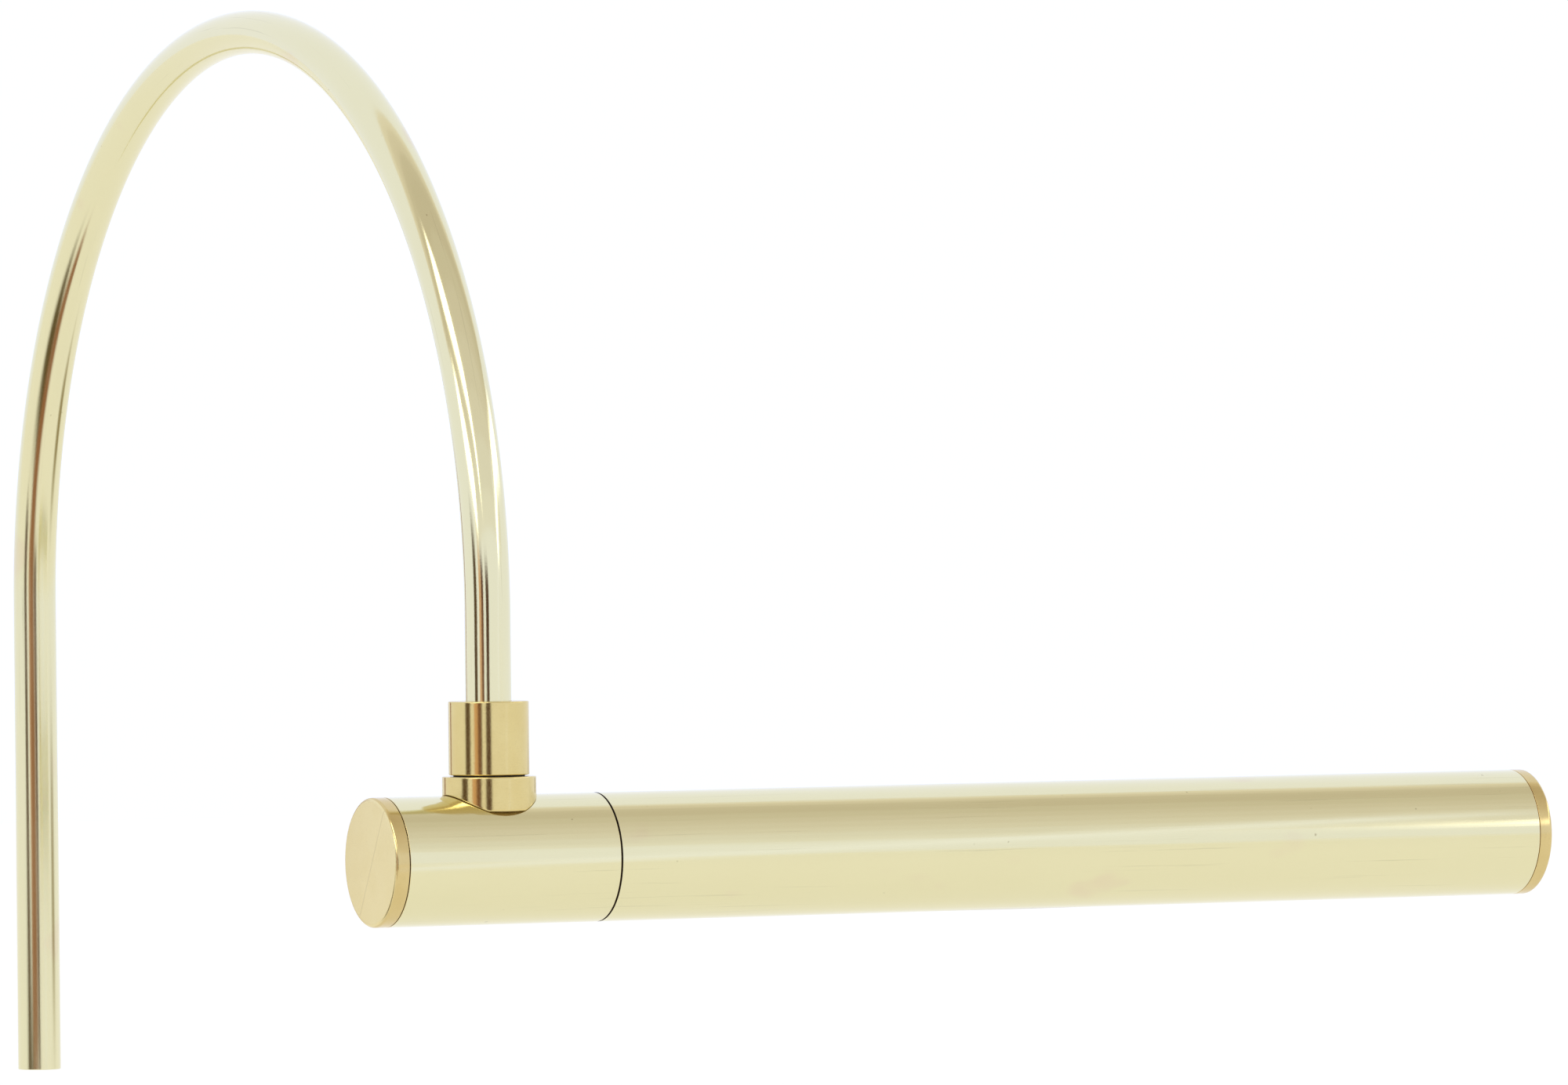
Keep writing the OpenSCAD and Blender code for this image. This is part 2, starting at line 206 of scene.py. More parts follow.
class Nodes:
    """A material's node tree, with short ways to add and join nodes."""

    def __init__(self, name):
        self.material = bpy.data.materials.new(name)
        self.material.use_nodes = True
        self.tree = self.material.node_tree
        self.shader = self.tree.nodes["Principled BSDF"]

    def set(self, **values):
        for name, value in values.items():
            self.shader.inputs[name.replace("_", " ")].default_value = value

    def add(self, kind, **settings):
        node = self.tree.nodes.new(kind)
        for name, value in settings.items():
            setattr(node, name, value)
        return node

    def join(self, output, target):
        self.tree.links.new(output, target)

    def place(self, scale, attribute=None):
        """Coordinates stretched by scale, from the object's own space or a mesh attribute."""
        if attribute:
            source = self.add("ShaderNodeAttribute", attribute_name=attribute).outputs["Vector"]
        else:
            source = self.add("ShaderNodeTexCoord").outputs["Object"]
        mapping = self.add("ShaderNodeMapping", vector_type="POINT")
        mapping.inputs["Scale"].default_value = scale
        self.join(source, mapping.inputs["Vector"])
        return mapping.outputs["Vector"]

    def noise(self, vector, detail=4.0, roughness=0.55, scale=1.0):
        node = self.add("ShaderNodeTexNoise")
        node.inputs["Scale"].default_value = scale
        node.inputs["Detail"].default_value = detail
        node.inputs["Roughness"].default_value = roughness
        self.join(vector, node.inputs["Vector"])
        return node.outputs["Fac"]

    def spread(self, value, low, high, to_low=0.0, to_high=1.0):
        """Maps a value from low..high to to_low..to_high, and holds it there."""
        node = self.add("ShaderNodeMapRange", interpolation_type="SMOOTHSTEP")
        for name, number in zip(("From Min", "From Max", "To Min", "To Max"), (low, high, to_low, to_high)):
            node.inputs[name].default_value = number
        self.join(value, node.inputs["Value"])
        return node.outputs["Result"]

    def total(self, *values):
        result = values[0]
        for value in values[1:]:
            node = self.add("ShaderNodeMath", operation="ADD")
            self.join(result, node.inputs[0])
            self.join(value, node.inputs[1])
            result = node.outputs[0]
        return result

    def blend(self, share, first, second):
        """A colour between two, by share. Each is a colour or an output."""
        node = self.add("ShaderNodeMix", data_type="RGBA")
        self.join(share, node.inputs["Factor"])
        for socket, colour in ((node.inputs[6], first), (node.inputs[7], second)):
            if isinstance(colour, tuple):
                socket.default_value = (*colour, 1)
            else:
                self.join(colour, socket)
        return node.outputs[2]

    def bump(self, height, distance, strength=1.0, under=None):
        node = self.add("ShaderNodeBump")
        node.inputs["Distance"].default_value = distance
        node.inputs["Strength"].default_value = strength
        self.join(height, node.inputs["Height"])
        if under:
            self.join(under, node.inputs["Normal"])
        return node.outputs["Normal"]

    def to(self, socket, output):
        self.join(output, self.shader.inputs[socket])


def tube_brass(name, light, deep, attribute="turn", softer_end=0.0):
    """Polished, lacquered brass tube: draw lines along it, fine grain, hairlines and faint stains.

    softer_end is how much duller the tube is near its start, where hands hold it at the wall.
    """
    m = Nodes(name)
    m.set(Metallic=1.0, IOR=1.45, Coat_Weight=0.2, Coat_Roughness=0.05, Coat_IOR=1.4)
    draw = m.noise(m.place((14, 2600, 2600), attribute), detail=3)
    hairline = m.noise(m.place((16, 1300, 1300), attribute), detail=4, roughness=0.65)
    grain = m.noise(m.place((3200, 3200, 3200), attribute), detail=2)
    cloud = m.noise(m.place((30, 60, 60), attribute), detail=3)
    stain = m.spread(m.noise(m.place((46, 85, 85), attribute), detail=2, roughness=0.4), 0.66, 0.78)
    speck = m.spread(m.noise(m.place((520, 520, 520), attribute), detail=1), 0.80, 0.84)
    base = m.blend(cloud, deep, light)
    lined = m.blend(m.spread(hairline, 0.62, 0.72, 0, 0.3), base, tuple(0.62 * c for c in deep))
    stained = m.blend(m.spread(stain, 0, 1, 0, 0.4), lined, (0.74, 0.60, 0.42))
    dotted = m.blend(m.spread(speck, 0, 1, 0, 0.5), stained, (0.30, 0.24, 0.12))
    m.to("Base Color", dotted)
    parts = m.add("ShaderNodeSeparateXYZ")
    m.join(m.place((1, 1, 1), attribute), parts.inputs[0])
    dullness = m.spread(parts.outputs["X"], 0.06, 0.22, softer_end, 0)
    scratches = m.spread(hairline, 0.62, 0.74, 0, 0.12)
    m.to("Roughness", m.total(m.spread(cloud, 0.3, 0.7, 0.085, 0.13), scratches, dullness))
    bands = m.noise(m.place((3, 520, 520), attribute), detail=2)
    uneven = m.bump(bands, 0.000016, under=m.bump(grain, 0.0000040))
    m.to("Normal", m.bump(draw, 0.0000070, under=uneven))
    return m.material


def turned_brass(name, light, deep, roughness, mark_depth, attribute="turn", grain_depth=0.0000012,
                 scratch=None):
    """Solid brass with the fine rings that a lathe leaves, and a few specks.

    scratch is one hairline: the direction across it, and its distance from the axis.
    """
    m = Nodes(name)
    m.set(Metallic=1.0, IOR=1.45)
    parts = m.add("ShaderNodeSeparateXYZ")
    m.join(m.place((1, 1, 1), attribute), parts.inputs[0])
    flat = m.add("ShaderNodeCombineXYZ")
    m.join(parts.outputs["Y"], flat.inputs["Y"])
    m.join(parts.outputs["Z"], flat.inputs["Z"])
    length = m.add("ShaderNodeVectorMath", operation="LENGTH")
    m.join(flat.outputs[0], length.inputs[0])
    rings = m.add("ShaderNodeCombineXYZ")
    m.join(parts.outputs["X"], rings.inputs["X"])
    m.join(length.outputs["Value"], rings.inputs["Y"])
    mapping = m.add("ShaderNodeMapping")
    mapping.inputs["Scale"].default_value = (6200, 6200, 1)
    m.join(rings.outputs[0], mapping.inputs["Vector"])
    marks = m.noise(mapping.outputs[0], detail=2)
    grain = m.noise(m.place((3400, 3400, 3400), attribute), detail=3)
    cloud = m.noise(m.place((160, 160, 160), attribute), detail=3)
    speck = m.spread(m.noise(m.place((640, 640, 640), attribute), detail=1), 0.80, 0.84)
    base = m.blend(m.spread(cloud, 0.2, 0.8), light, deep)
    gritty = m.blend(m.spread(grain, 0.55, 0.75, 0, 0.25), base, tuple(0.6 * c for c in deep))
    worn = m.blend(m.spread(speck, 0, 1, 0, 0.5), gritty, (0.34, 0.20, 0.08))
    if scratch:
        across = m.add("ShaderNodeVectorMath", operation="DOT_PRODUCT")
        m.join(m.place((1, 1, 1), attribute), across.inputs[0])
        across.inputs[1].default_value = scratch[0]
        far = m.add("ShaderNodeMath", operation="ABSOLUTE")
        wander = m.spread(cloud, 0, 1, scratch[1] - 0.0002, scratch[1])
        m.join(m.total(across.outputs["Value"], wander), far.inputs[0])
        worn = m.blend(m.spread(far.outputs[0], 0.00004, 0.00016, 0.35, 0), worn, (0.42, 0.30, 0.15))
    m.to("Base Color", worn)
    m.to("Roughness", m.spread(grain, 0.25, 0.75, roughness - 0.03, roughness + 0.04))
    m.to("Normal", m.bump(marks, mark_depth, under=m.bump(grain, grain_depth)))
    return m.material


def plain_metal(name, colour, roughness):
    """Plated or extruded metal, with a fine uneven surface."""
    m = Nodes(name)
    m.set(Metallic=1.0)
    cloud = m.noise(m.place((500, 500, 500)), detail=4)
    darker = tuple(0.85 * c for c in colour)
    m.to("Base Color", m.blend(cloud, darker, colour))
    m.to("Roughness", m.spread(cloud, 0.3, 0.7, roughness - 0.06, roughness + 0.08))
    m.to("Normal", m.bump(m.noise(m.place((2500, 2500, 2500)), detail=2), 0.000004))
    return m.material


def plain_plastic(name, colour, roughness):
    """Moulded plastic or wire sheath, with a faint texture."""
    m = Nodes(name)
    m.set(IOR=1.5)
    cloud = m.noise(m.place((350, 350, 350)), detail=3)
    darker = tuple(0.88 * c for c in colour)
    m.to("Base Color", m.blend(cloud, darker, colour))
    m.to("Roughness", m.spread(cloud, 0.3, 0.7, roughness - 0.05, roughness + 0.08))
    m.to("Normal", m.bump(m.noise(m.place((3000, 3000, 3000)), detail=2), 0.000008))
    return m.material


def opal():
    """Satin opal diffuser: white, a little translucent."""
    m = Nodes("opal_diffuser")
    m.set(IOR=1.49, Subsurface_Weight=0.4, Subsurface_Scale=0.004, Transmission_Weight=0.25)
    cloud = m.noise(m.place((90, 500, 500)), detail=3)
    m.to("Base Color", m.blend(cloud, (0.86, 0.86, 0.83), (0.92, 0.92, 0.90)))
    m.to("Roughness", m.spread(cloud, 0.3, 0.7, 0.34, 0.46))
    m.to("Normal", m.bump(m.noise(m.place((4000, 4000, 4000)), detail=2), 0.000006))
    return m.material


def board():
    """White solder mask with faint copper runs below it."""
    m = Nodes("white_board")
    m.set(IOR=1.5)
    runs = m.spread(m.noise(m.place((60, 900, 900)), detail=1), 0.48, 0.52)
    m.to("Base Color", m.blend(runs, (0.84, 0.84, 0.80), (0.90, 0.90, 0.87)))
    m.to("Roughness", m.spread(runs, 0, 1, 0.32, 0.40))
    m.to("Normal", m.bump(runs, 0.00002))
    return m.material


MATERIALS = {
    "tube_brass": tube_brass("tube_brass", (0.783, 0.733, 0.452), (0.764, 0.710, 0.430)),
    "turned_brass": turned_brass("turned_brass", (0.73, 0.60, 0.265), (0.70, 0.56, 0.235), 0.14, 0.0000014,
                                 grain_depth=0.0000035),
    "steel": plain_metal("plated_steel", (0.62, 0.63, 0.64), 0.34),
    "dark_fibre": plain_plastic("dark_fibre", (0.030, 0.022, 0.016), 0.7),
    "white_nylon": plain_plastic("white_nylon", (0.80, 0.78, 0.74), 0.5),
    "white_pvc": plain_plastic("white_pvc", (0.84, 0.83, 0.78), 0.42),
    "amber_plastic": plain_plastic("amber_plastic", (0.80, 0.42, 0.10), 0.3),
    "brown_pvc": plain_plastic("brown_pvc", (0.24, 0.11, 0.06), 0.42),
    "grey_pvc": plain_plastic("grey_pvc", (0.13, 0.13, 0.14), 0.42),
    "red_pvc": plain_plastic("red_pvc", (0.45, 0.05, 0.04), 0.42),
    "aluminium": plain_metal("satin_aluminium", (0.80, 0.81, 0.82), 0.36),
    "white_board": board(),
    "phosphor": plain_plastic("phosphor", (0.93, 0.74, 0.20), 0.35),
    "opal_diffuser": opal(),
}
ARM_BRASS = tube_brass("arm_brass", (0.783, 0.737, 0.465), (0.764, 0.712, 0.440), softer_end=0.07)
CAP_FACE = turned_brass(
    "cap_face", (0.816, 0.697, 0.361), (0.793, 0.669, 0.331), 0.24, 0.0000003,
    scratch=((0, 0.86, 0.50), 0.001))
RIM_BRASS = turned_brass("rim_brass", (0.70, 0.555, 0.255), (0.66, 0.510, 0.220), 0.14, 0.0000012)
# Painted shade: a near-black colour for the tubes' seam ends and the collar's underside, standing in for the
# shade in those narrow gaps
PAINTED_GAP_SHADE = plain_plastic("painted_gap_shade", (0.045, 0.022, 0.007), 0.6)
SHADED_BRASS = plain_plastic("shaded_brass", (0.40, 0.25, 0.085), 0.5)
CORE_BRASS = turned_brass(
    "core_brass", (0.72, 0.60, 0.31), (0.68, 0.55, 0.27), 0.22, 0.0000012, attribute=None)


def dress(piece, material):
    piece.data.materials.clear()
    piece.data.materials.append(material)


def gild(piece, material, chosen):
    """Gives another material to the faces that chosen picks by their middle and normal."""
    piece.data.materials.append(material)
    for face in piece.data.polygons:
        if chosen(face.center, face.normal):
            face.material_index = len(piece.data.materials) - 1


def head_radius(place):
    return math.hypot(place.y - AXIS_Y, place.z - AXIS_Z)


def install(piece, node, body, slot, material=None):
    """Puts a finished piece in the place of its CAD node."""
    dress(piece, material or MATERIALS[slot])
    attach(piece, body)
    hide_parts(node)


# ---------------------------------------------------------------- arm

def smoothstep(t):
    t = min(1.0, max(0.0, t))
    return t * t * (3 - 2 * t)


def arm_stations():
    """Along the tube: (centre, outward direction in the arch's plane, distance, share of the bend)."""
    stations = []
    distance = 0.0
    front_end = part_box("swivel_nipple")[1].z + 0.2 * MM
    leg_steps, bend_steps, front_steps = 24, 168, 8
    for i in range(leg_steps):
        z = ARCH_Z * i / leg_steps
        stations.append((Vector((0, 0, z)), Vector((0, 1, 0)), z, 0.0))
    for i in range(bend_steps + 1):
        angle = math.pi * i / bend_steps
        outward = Vector((0, math.cos(angle), math.sin(angle)))
        centre = Vector((0, -ARCH_R, ARCH_Z)) + ARCH_R * outward
        share = smoothstep(angle / 0.25) * smoothstep((math.pi - angle) / 0.25)
        stations.append((centre, outward, ARCH_Z + ARCH_R * angle, share))
    for i in range(1, front_steps + 1):
        z = ARCH_Z + (front_end - ARCH_Z) * i / front_steps
        distance = ARCH_Z + math.pi * ARCH_R + ARCH_Z - z
        stations.append((Vector((0, ARM_FRONT_Y, z)), Vector((0, -1, 0)), distance, 0.0))
    return stations


def build_arm_tube():
    """The bent tube, hollow from end to end, drawn very slightly oval where it is bent."""
    sides = 80
    flattening = 0.018
    stations = arm_stations()
    points, turn, faces = [], [], []
    for radius in (ARM_R, BORE_R):
        for centre, outward, distance, share in stations:
            for k in range(sides):
                angle = 2 * math.pi * k / sides
                in_plane = radius * math.cos(angle) * (1 - flattening * share)
                across = radius * math.sin(angle)
                points.append(centre + outward * in_plane + Vector((across, 0, 0)))
                turn.append((distance, radius * math.cos(angle), radius * math.sin(angle)))
    rows = len(stations)
    inner = rows * sides
    for i in range(rows - 1):
        for k in range(sides):
            a, b = i * sides + k, i * sides + (k + 1) % sides
            faces.append((a, a + sides, b + sides, b))
            faces.append((inner + a, inner + b, inner + b + sides, inner + a + sides))
    last = (rows - 1) * sides
    for k in range(sides):
        a, b = k, (k + 1) % sides
        faces.append((a, b, inner + b, inner + a))
        faces.append((last + a, inner + last + a, inner + last + b, last + b))
    piece = new_piece("arm_tube_bent", points, faces, turn)
    merge(piece, 1e-8)
    finish_edges(piece, 0.18 * MM)
    install(piece, "arm_tube", "arm", "tube_brass", ARM_BRASS)


def build_collar():
    low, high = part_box("arm_collar")
    outer, edge = high.x, 0.28 * MM
    outline = [
        (low.z, ARM_R, 0.1 * MM), (low.z, outer, edge), (high.z, outer, edge), (high.z, ARM_R, 0.12 * MM)]
    piece = lathe("arm_collar_turned", outline, along_z, steps=144)
    merge(piece)
    screw_low, screw_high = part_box("collar_screw")
    height = (screw_low.z + screw_high.z) / 2
    drill(piece, Vector((0, ARM_FRONT_Y + outer, height)), Vector((0, 1, 0)), GRUB_R + GRUB_PLAY, 3.3 * MM)
    finish_edges(piece)
    install(piece, "arm_collar", "arm", "turned_brass")
    # Painted shade: the collar's underside is painted near-black, for the shade in the gap above the saddle
    # ring
    gild(piece, PAINTED_GAP_SHADE, lambda place, normal: normal.z < -0.95)


# ---------------------------------------------------------------- housing

def build_saddle_ring():
    """The ring on top of the housing, its underside cut to the tube's curve."""
    low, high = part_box("saddle_ring")
    outer, bore = high.x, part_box("swivel_nipple")[1].x + 0.05 * MM
    seat_gap, foot = 0.09 * MM, low.z
    sides, rows = 160, 14
    points, turn, faces = [], [], []

    def add(radius, angle, place):
        points.append(along_z(place, radius, angle))
        turn.append((place, radius * math.cos(angle), radius * math.sin(angle)))

    def seat(radius, angle):
        saddle = AXIS_Z + math.sqrt(HEAD_R ** 2 - (radius * math.sin(angle)) ** 2) + seat_gap
        return max(saddle, foot)

    across = 6
    loop = 2 * (rows + across)
    for k in range(sides):
        angle = 2 * math.pi * k / sides
        for i in range(rows):
            add(outer, angle, high.z + (seat(outer, angle) - high.z) * i / rows)
        for i in range(across):
            radius = outer + (bore - outer) * i / across
            add(radius, angle, seat(radius, angle))
        for i in range(rows):
            add(bore, angle, seat(bore, angle) + (high.z - seat(bore, angle)) * i / rows)
        for i in range(across):
            add(bore + (outer - bore) * i / across, angle, high.z)
    for k in range(sides):
        m = (k + 1) % sides
        for i in range(loop):
            n = (i + 1) % loop
            faces.append((k * loop + i, m * loop + i, m * loop + n, k * loop + n))
    piece = new_piece("saddle_ring_coped", points, faces, turn)
    merge(piece)
    finish_edges(piece, 0.22 * MM)
    install(piece, "saddle_ring", "housing", "turned_brass")
    gild(piece, SHADED_BRASS, lambda place, normal: normal.z < -0.3)


def is_hidden_end(place, normal):
    """Tells the flat ends of the tubes that face the next piece across a seam. These ends are painted
    near-black, as painted shade that makes the seam read dark.
    """
    ends = (housing_low.x + CAP_GAP, housing_high.x, shade_low.x)
    return abs(normal.x) > 0.9 and min(abs(place.x - x) for x in ends) < 0.02 * MM


def build_housing_tube():
    start, end, edge = housing_low.x + CAP_GAP, housing_high.x, 0.12 * MM
    outline = [(start, HEAD_BORE, 0), (start, HEAD_R, edge)]
    belts = 24
    outline += [(start + (end - start) * i / belts, HEAD_R, 0) for i in range(1, belts)]
    outline += [(end, HEAD_R, edge), (end, HEAD_BORE, 0)]
    piece = lathe("housing_tube_polished", outline, along_x, steps=192)
    merge(piece)
    for node in ("housing_cap_screw", "pivot_hub_screw"):
        low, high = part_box(node)
        drill_grub_hole(piece, (low.x + high.x) / 2)
    finish_edges(piece)
    install(piece, "housing_tube", "housing", "tube_brass")
    gild(piece, RIM_BRASS, lambda place, normal: abs(normal.x) > 0.3)
    # Painted shade: the tube's end faces at the seams are painted near-black
    gild(piece, PAINTED_GAP_SHADE, is_hidden_end)


def build_cap(name, node, body, shoulder, outwards, screw_node):
    """An end cap: a plain face with a rounded edge, and a hollow spigot inside the tube."""
    low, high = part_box(node)
    face = high.x if outwards > 0 else low.x
    inner_end = low.x if outwards > 0 else high.x
    wall, floor = 2 * MM, shoulder - outwards * 1 * MM
    outline = [
        (floor, 0, 0), (floor, HEAD_BORE - wall, 0), (inner_end, HEAD_BORE - wall, 0),
        (inner_end, HEAD_BORE, 0.1 * MM), (shoulder, HEAD_BORE, 0), (shoulder, HEAD_R, 0.08 * MM),
        (face, HEAD_R, 0.85 * MM), (face, 0, 0)]
    piece = fill_disc(name, outline, along_x, steps=192)
    screw_low, screw_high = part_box(screw_node)
    drill_grub_hole(piece, (screw_low.x + screw_high.x) / 2)
    finish_edges(piece)
    install(piece, node, body, "turned_brass", CAP_FACE)
    gild(piece, RIM_BRASS, lambda place, normal: head_radius(place) > HEAD_R - 0.30 * MM)


# ---------------------------------------------------------------- shade

def is_cut_edge(place, normal):
    """Tells the sawn or milled edges of the tube from its inner and outer walls."""
    outwards = Vector((0, place.y - AXIS_Y, place.z - AXIS_Z)).normalized()
    return abs(normal.dot(outwards)) < 0.7


def build_shade_tube():
    """The slotted tube. Its slot has rounded corners, and every edge is broken."""
    start, end = shade_low.x, shade_high.x - CAP_GAP
    slot_start, slot_end = shade_low.x + SLOT_MARGIN, shade_high.x - SLOT_MARGIN
    corner = 2.2 * MM
    whole_steps, slot_steps, band_rows, middle_rows = 144, 64, 8, 60
    first, last = SLOT_MIDDLE - SLOT_HALF, SLOT_MIDDLE + SLOT_HALF
    corner_angle = corner / HEAD_R

    def slot_angles():
        """Angles across the slot, closest in its rounded corners."""
        near = 12
        side = [first + corner_angle * (1 - math.cos(math.pi / 2 * i / near)) for i in range(near)]
        middle_count = slot_steps - 2 * near
        middle = [first + corner_angle + (2 * SLOT_HALF - 2 * corner_angle) * i / middle_count
                  for i in range(middle_count + 1)]
        return side + middle + [2 * SLOT_MIDDLE - a for a in reversed(side)]

    def setback(angle):
        """How far the slot's end lies outside its straight sides' ends, at an angle."""
        depth = min(angle - first, last - angle) * HEAD_R
        if depth >= corner:
            return 0.0
        return corner - math.sqrt(max(0.0, corner ** 2 - (corner - depth) ** 2))

    inside = slot_angles()
    outside = [last + (2 * math.pi - 2 * SLOT_HALF) * i / whole_steps for i in range(whole_steps + 1)]
    points, turn, faces, index = [], [], [], {}

    def point(layer, place, angle):
        key = (layer, round(place, 8), round(angle % (2 * math.pi), 7))
        if key not in index:
            radius = HEAD_R if layer == 0 else HEAD_BORE
            index[key] = len(points)
            points.append(along_x(place, radius, angle))
            turn.append((place, radius * math.cos(angle), radius * math.sin(angle)))
        return index[key]

    def band(layer, a, b, xs_a, xs_b):
        for i in range(len(xs_a) - 1):
            quad = (point(layer, xs_a[i], a), point(layer, xs_a[i + 1], a),
                    point(layer, xs_b[i + 1], b), point(layer, xs_b[i], b))
            faces.append(quad if layer else quad[::-1])

    def run(low, high, count):
        return [low + (high - low) * i / count for i in range(count + 1)]

    def left(angle):
        return run(start, slot_start + setback(angle), band_rows)

    def right(angle):
        return run(slot_end - setback(angle), end, band_rows)

    middle = run(slot_start + corner, slot_end - corner, middle_rows)
    whole = left(first)[:-1] + middle + right(first)[1:]
    for layer in (0, 1):
        for a, b in zip(outside, outside[1:]):
            band(layer, a, b, whole, whole)
        for a, b in zip(inside, inside[1:]):
            band(layer, a, b, left(a), left(b))
            band(layer, a, b, right(a), right(b))

    def rim(stations):
        """Joins the outer and inner walls along a run of (place, angle) stations."""
        for (xa, a), (xb, b) in zip(stations, stations[1:]):
            faces.append((point(0, xa, a), point(1, xa, a), point(1, xb, b), point(0, xb, b)))

    rim([(left(a)[-1], a) for a in inside])
    rim([(right(a)[0], a) for a in reversed(inside)])
    rim([(x, last) for x in middle])
    rim([(x, first) for x in reversed(middle)])
    around = outside + inside[1:]
    rim([(start, a) for a in reversed(around)])
    rim([(end, a) for a in around])
    piece = new_piece("shade_tube_slotted", points, faces, turn)
    merge(piece, 1e-7)
    for node in ("shade_bush_screw", "shade_cap_screw"):
        low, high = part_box(node)
        drill_grub_hole(piece, (low.x + high.x) / 2)
    finish_edges(piece, 0.1 * MM, 2)
    install(piece, "shade_tube", "shade", "tube_brass")
    gild(piece, RIM_BRASS, is_cut_edge)
    # Painted shade: the tube's end face at the seam is painted near-black
    gild(piece, PAINTED_GAP_SHADE, is_hidden_end)


# ---------------------------------------------------------------- light engine

def in_slot(place, across, out):
    """A point in the slot's own frame: along the head, across the slot, and out through it."""
    c, s = math.cos(SLOT_MIDDLE), math.sin(SLOT_MIDDLE)
    return Vector((place, AXIS_Y + out * c - across * s, AXIS_Z + out * s + across * c))


def from_slot(point):
    """The slot's own coordinates of a point: along, across and out."""
    c, s = math.cos(SLOT_MIDDLE), math.sin(SLOT_MIDDLE)
    y, z = point.y - AXIS_Y, point.z - AXIS_Z
    return point.x, z * c - y * s, y * c + z * s


def slot_box(node):
    """Low and high corners of a CAD node in the slot's own frame."""
    obj = frame["nodes"][node]
    corners = [from_slot(obj.matrix_world @ v.co) for v in obj.data.vertices]
    return [min(c[i] for c in corners) for i in range(3)], [max(c[i] for c in corners) for i in range(3)]


def rounded_rectangle(place, across, length, width, corner, steps=5):
    """An outline round a middle point, as (along, across) pairs."""
    outline = []
    for quarter, (sx, sy) in enumerate(((1, 1), (-1, 1), (-1, -1), (1, -1))):
        for k in range(steps + 1):
            angle = math.pi / 2 * (quarter + k / steps)
            outline.append((
                place + sx * (length / 2 - corner) + corner * math.cos(angle),
                across + sy * (width / 2 - corner) + corner * math.sin(angle)))
    return outline


def stack(points, turn, faces, layers):
    """Adds a closed solid made of outlines of equal count, each at its own height out of the slot."""
    start, count = len(points), len(layers[0][0])
    for outline, out in layers:
        for place, across in outline:
            points.append(in_slot(place, across, out))
            turn.append((place, across, out))
    for i in range(len(layers) - 1):
        for k in range(count):
            a, b = start + i * count + k, start + i * count + (k + 1) % count
            faces.append((a, b, b + count, a + count))
    faces.append(tuple(start + k for k in reversed(range(count))))
    faces.append(tuple(start + (len(layers) - 1) * count + k for k in range(count)))


def led_places():
    """The middle of every diode along the head, and the corners of the whole row, from the CAD node."""
    obj = frame["nodes"]["led_chips"]
    low, high = slot_box("led_chips")
    starts = sorted({round(v.co.x, 5) for v in obj.data.vertices})
    return [(a + b) / 2 for a, b in zip(starts[::2], starts[1::2])], low, high


def build_led_chips():
    """White packages with a recessed window of yellow phosphor."""
    places, low, high = led_places()
    length, width = 3.5 * MM, high[1] - low[1]
    depth = 0.12 * MM
    middle = (low[1] + high[1]) / 2
    points, turn, faces = [], [], []
    for place in places:
        base = rounded_rectangle(place, middle, length, width, 0.12 * MM)
        waist = rounded_rectangle(place, middle, length - 0.08 * MM, width - 0.08 * MM, 0.12 * MM)
        lip = rounded_rectangle(place, middle, length - 0.7 * MM, width - 0.6 * MM, 0.45 * MM)
        well = rounded_rectangle(place, middle, length - 0.95 * MM, width - 0.85 * MM, 0.40 * MM)
        stack(points, turn, faces, [
            (base, low[2]), (base, high[2] - depth), (waist, high[2]), (lip, high[2]),
            (well, high[2] - depth)])
    piece = new_piece("led_packages", points, faces, turn)
    merge(piece, 1e-8)
    recess = high[2] - depth
    outwards = in_slot(0, 0, 1) - in_slot(0, 0, 0)
    finish_edges(piece)
    install(piece, "led_chips", "shade", "phosphor", MATERIALS["white_nylon"])
    gild(piece, MATERIALS["phosphor"], lambda place, normal: (
        normal.dot(outwards) > 0.99 and abs(from_slot(place)[2] - recess) < 0.02 * MM))


def build_led_board():
    """The board with rounded corners, solder lands between the diodes, and a few resistors."""
    low, high = slot_box("led_board")
    places, _, _ = led_places()
    middle = (low[1] + high[1]) / 2
    top = high[2]
    points, turn, faces = [], [], []
    outline = rounded_rectangle((low[0] + high[0]) / 2, middle, high[0] - low[0], high[1] - low[1], 0.8 * MM)
    stack(points, turn, faces, [(outline, low[2]), (outline, top)])
    board_count = len(faces)
    lands, bodies = [], []
    for a, b in zip(places, places[1:]):
        for side in (-1, 1):
            across = middle + side * 3.4 * MM
            lands.append(rounded_rectangle((a + b) / 2, across, 2.6 * MM, 1.2 * MM, 0.25 * MM))
    for a, b in list(zip(places, places[1:]))[2::5]:
        bodies.append(rounded_rectangle((a + b) / 2, middle, 3.2 * MM, 1.6 * MM, 0.1 * MM))
    for land in lands:
        stack(points, turn, faces, [(land, top - 0.02 * MM), (land, top + 0.06 * MM)])
    land_count = len(faces)
    for body in bodies:
        stack(points, turn, faces, [(body, top - 0.02 * MM), (body, top + 0.55 * MM)])
    piece = new_piece("led_board_fitted", points, faces, turn)
    merge(piece, 1e-8)
    install(piece, "led_board", "shade", "white_board")
    piece.data.materials.append(MATERIALS["steel"])
    piece.data.materials.append(MATERIALS["grey_pvc"])
    for i, face in enumerate(piece.data.polygons):
        face.material_index = 0 if i < board_count else 1 if i < land_count else 2
    finish_edges(piece, 0.05 * MM, 2)


